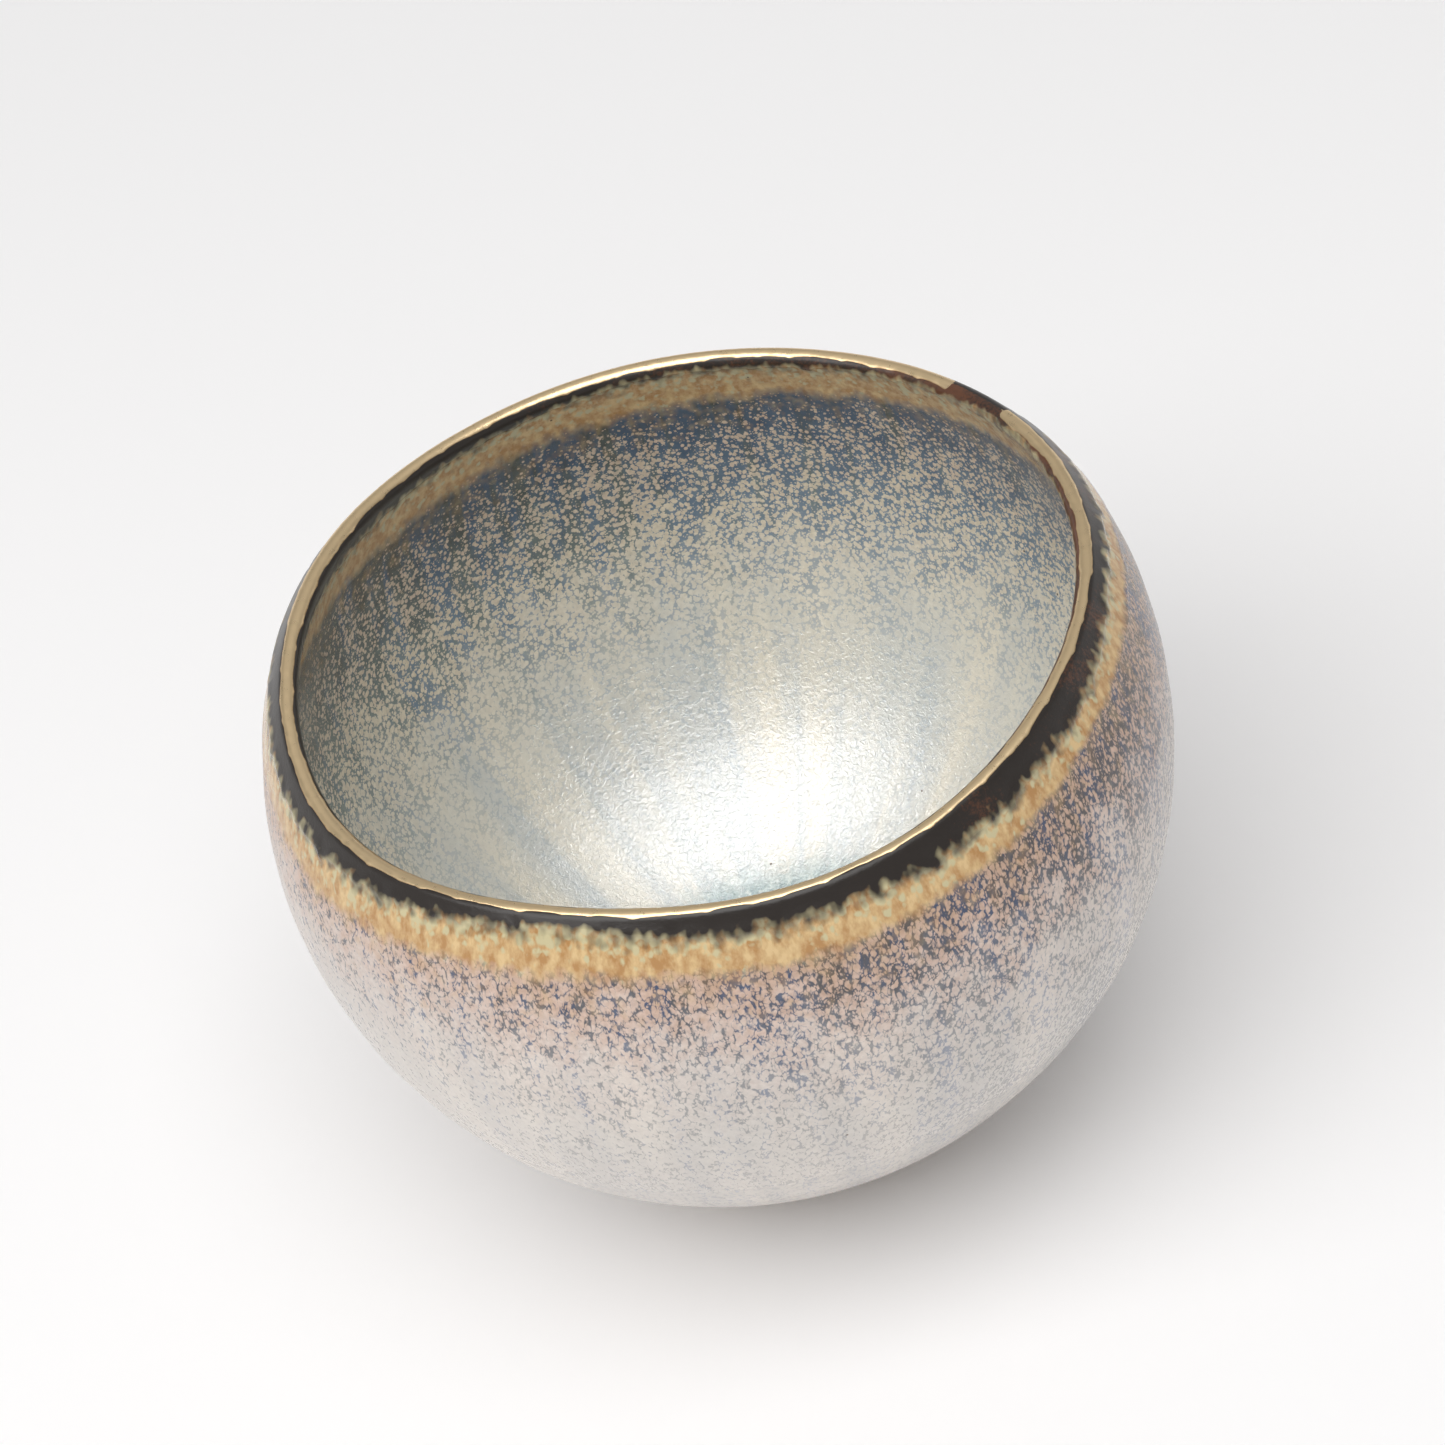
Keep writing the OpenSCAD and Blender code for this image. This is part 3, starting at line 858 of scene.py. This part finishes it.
class TEABOWL_OT_rim_glaze(bpy.types.Operator):
    """Dip the rim in dark glaze, and let ochre run from under it"""

    bl_idname = "tea_bowl.rim_glaze"
    bl_label = "Rim glazes"

    def execute(self, context):
        """Three coats: the dark one over the lip, between its dripping edges, and the ochre ones below."""
        form, _, colours = bowl_of(context)
        phi = columns(AROUND_FINE)
        dark_out, dark_in, runs_out, runs_in = edges(form, phi)
        out, inn = ("outside",), ("hollow",)
        coats = (
            ("dark_rim_glaze", "rim_glaze", "dark_glaze", -dark_in, dark_out, 44, out + inn, 0.30),
            ("ochre_runs_outside", "ochre_runs_outer", "ochre_glaze", dark_out, runs_out, 24, out, 0.15),
            ("ochre_runs_hollow", "ochre_runs_inner", "ochre_glaze", -runs_in, -dark_in, 24, inn, 0.13),
        )
        for name, node, slot, start, end, rows, sides, roughness in coats:
            piece = mesh_from_grid(name, *coat(form, phi, start, end, rows))
            finish(piece, glaze(name + "_finish", colours, sides, roughness, 0.03), node)
        return {"FINISHED"}


class TEABOWL_OT_gilding(bpy.types.Operator):
    """Brush gold on the crest of the lip"""

    bl_idname = "tea_bowl.gilding"
    bl_label = "Gilding"

    def execute(self, context):
        """A thin band over the crest, gold_t * (0.3 + 0.7 * (1 - q^2)^0.8) thick, where q grows from 0 at the
        crest to 1 at an edge drawn by an unsteady brush. Where the brush missed, it dips into the glaze.
        """
        form, s, colours = bowl_of(context)
        phi = columns(AROUND_FINE)
        out = 0.8 * s.gold_reach + waves(phi, GOLD_OUT_WAVES) + tongues(phi, 71, 0.18 * MM)
        inn = s.gold_reach + waves(phi, GOLD_IN_WAVES) + tongues(phi + 1, 83, 0.15 * MM)
        q = np.linspace(-1, 1, 25)[:, None]
        run = np.where(q > 0, q * out, q * inn)
        under = run[::-1][::4]
        bald = np.exp(-(((phi - GOLD_GAP[0]) / GOLD_GAP[1]) ** 8))
        lift = s.gold_t * (0.3 + 0.7 * (1 - q**2) ** 0.8) * (1 - bald) - 0.03 * MM * bald
        depth = np.concatenate([-relief(form, run, phi) - lift, 0.05 * MM - relief(form, under, phi)])
        both = np.concatenate([run, under])
        points = turned(form, *section(form, both, depth), phi)
        across = np.concatenate([np.abs(q), np.abs(q[::-1][::4])]) + 0 * phi
        values = np.stack([across, np.abs(both) / MM, 0 * both], axis=-1)
        piece = mesh_from_grid("gilded_lip", points, values)
        finish(piece, gold_lustre(colours), "gold_lip")
        return {"FINISHED"}


# ---- the stage


def panel(name, centre, size, radiance):
    """A rectangular area light that hangs level over the table, with a power that gives it a radiance."""
    light = bpy.data.lights.new(name, "AREA")
    light.shape = "RECTANGLE"
    light.size, light.size_y = size
    light.energy = np.pi * size[0] * size[1] * radiance
    lamp = bpy.data.objects.new(name, light)
    lamp.location = centre
    bpy.context.scene.collection.objects.link(lamp)
    return lamp


def place_camera(scene, stage):
    """Stands the camera over the lip's plane, rolled, and looking just above the middle of the bowl."""
    middle = Vector((0, 0, bowl_form(scene.tea_bowl_sizes).outer_z))
    lean, roll = stage.elevation, stage.roll
    back = Vector((0, -np.cos(lean), np.sin(lean)))
    level = Vector((1, 0, 0))
    rise = Vector((0, np.sin(lean), np.cos(lean)))
    right = level * np.cos(roll) - rise * np.sin(roll)
    up = level * np.sin(roll) + rise * np.cos(roll)
    look = middle + up * LOOK_UP + right * LOOK_RIGHT
    camera = bpy.data.objects.new("camera", bpy.data.cameras.new("camera"))
    camera.data.sensor_width = 36
    camera.data.lens = stage.lens
    camera.data.clip_start = 0.01
    turn = Matrix((right, up, back)).transposed()
    camera.matrix_world = Matrix.Translation(look + back * stage.distance) @ turn.to_4x4()
    scene.collection.objects.link(camera)
    scene.camera = camera


def lay_floor(scene, stage):
    """Lays a wide square of pale matt board under the bowl."""
    floor = bpy.data.meshes.new("floor")
    corners = [(x * FLOOR_HALF, y * FLOOR_HALF, 0) for x, y in ((-1, -1), (1, -1), (1, 1), (-1, 1))]
    floor.from_pydata(corners, [], [(0, 1, 2, 3)])
    ground = bpy.data.objects.new("floor", floor)
    scene.collection.objects.link(ground)
    material, tree, shader = new_material("painted_board")
    plug(tree, shader, {"Base Color": stage.floor, "Roughness": 0.6})
    floor.materials.append(material)


def hang_lights(stage):
    """Hangs a softbox to the left and front, one that shines only in the hollow's gloss, and a high panel."""
    panel("softbox", *SOFTBOX, stage.key)
    face = panel("hollow_softbox", *HOLLOW_SOFTBOX, stage.face)
    face.visible_diffuse = False
    hollow = bpy.data.collections.new("hollow_glazes")
    for name in ("inner_body_glaze", "pooled_glaze"):
        hollow.objects.link(bpy.data.objects[name])
    face.light_linking.receiver_collection = hollow
    panel("overhead", *OVERHEAD, stage.overhead)


def paint_room(scene, stage):
    """Puts the bowl in a white room, brighter low down than overhead."""
    room = bpy.data.worlds.new("white_room")
    room.use_nodes = True
    sky = room.node_tree
    direction = add(sky, "TexCoord", out="Generated")
    height = add(sky, "SeparateXYZ", {0: direction}, out="Z")
    span = {"Value": height, "From Max": 0.3, "To Min": stage.horizon, "To Max": stage.ambient}
    wall = add(sky, "MapRange", span, interpolation_type="SMOOTHSTEP")
    plug(sky, sky.nodes["Background"], {"Color": (1, 1, 1, 1), "Strength": wall})
    scene.world = room
    scene.view_settings.view_transform = "Standard"


class TEABOWL_OT_stage(bpy.types.Operator):
    """Set a plain pale floor, soft light and the camera"""

    bl_idname = "tea_bowl.stage"
    bl_label = "Stage"

    def execute(self, context):
        scene = context.scene
        stage = scene.tea_bowl_stage
        place_camera(scene, stage)
        lay_floor(scene, stage)
        hang_lights(stage)
        paint_room(scene, stage)
        return {"FINISHED"}


class TEABOWL_PT_panel(bpy.types.Panel):
    """Buttons that build the bowl piece by piece, and its sizes and colours"""

    bl_idname = "TEABOWL_PT_panel"
    bl_label = "Tea Bowl"
    bl_space_type = "VIEW_3D"
    bl_region_type = "UI"
    bl_category = "Tea Bowl"

    def draw(self, context):
        for operator in OPERATORS:
            self.layout.operator(operator.bl_idname)
        for group_name, group in GROUPS.items():
            box = self.layout.box()
            for name in group.__annotations__:
                box.prop(getattr(context.scene, group_name), name)


OPERATORS = (
    TEABOWL_OT_clay,
    TEABOWL_OT_foot,
    TEABOWL_OT_body_glaze,
    TEABOWL_OT_pool,
    TEABOWL_OT_rim_glaze,
    TEABOWL_OT_gilding,
    TEABOWL_OT_stage,
)
GROUPS = {
    "tea_bowl_sizes": TeaBowlSizes,
    "tea_bowl_colours": TeaBowlColours,
    "tea_bowl_stage": TeaBowlStage,
}
CLASSES = (*GROUPS.values(), *OPERATORS, TEABOWL_PT_panel)


def register():
    for cls in CLASSES:
        bpy.utils.register_class(cls)
    for name, group in GROUPS.items():
        setattr(bpy.types.Scene, name, bpy.props.PointerProperty(type=group))


def unregister():
    for name in GROUPS:
        delattr(bpy.types.Scene, name)
    for cls in reversed(CLASSES):
        bpy.utils.unregister_class(cls)


def main():
    """Builds every piece and the stage."""
    register()
    for operator in OPERATORS:
        getattr(bpy.ops.tea_bowl, operator.bl_idname.split(".")[1])()


if __name__ == "__main__":
    main()
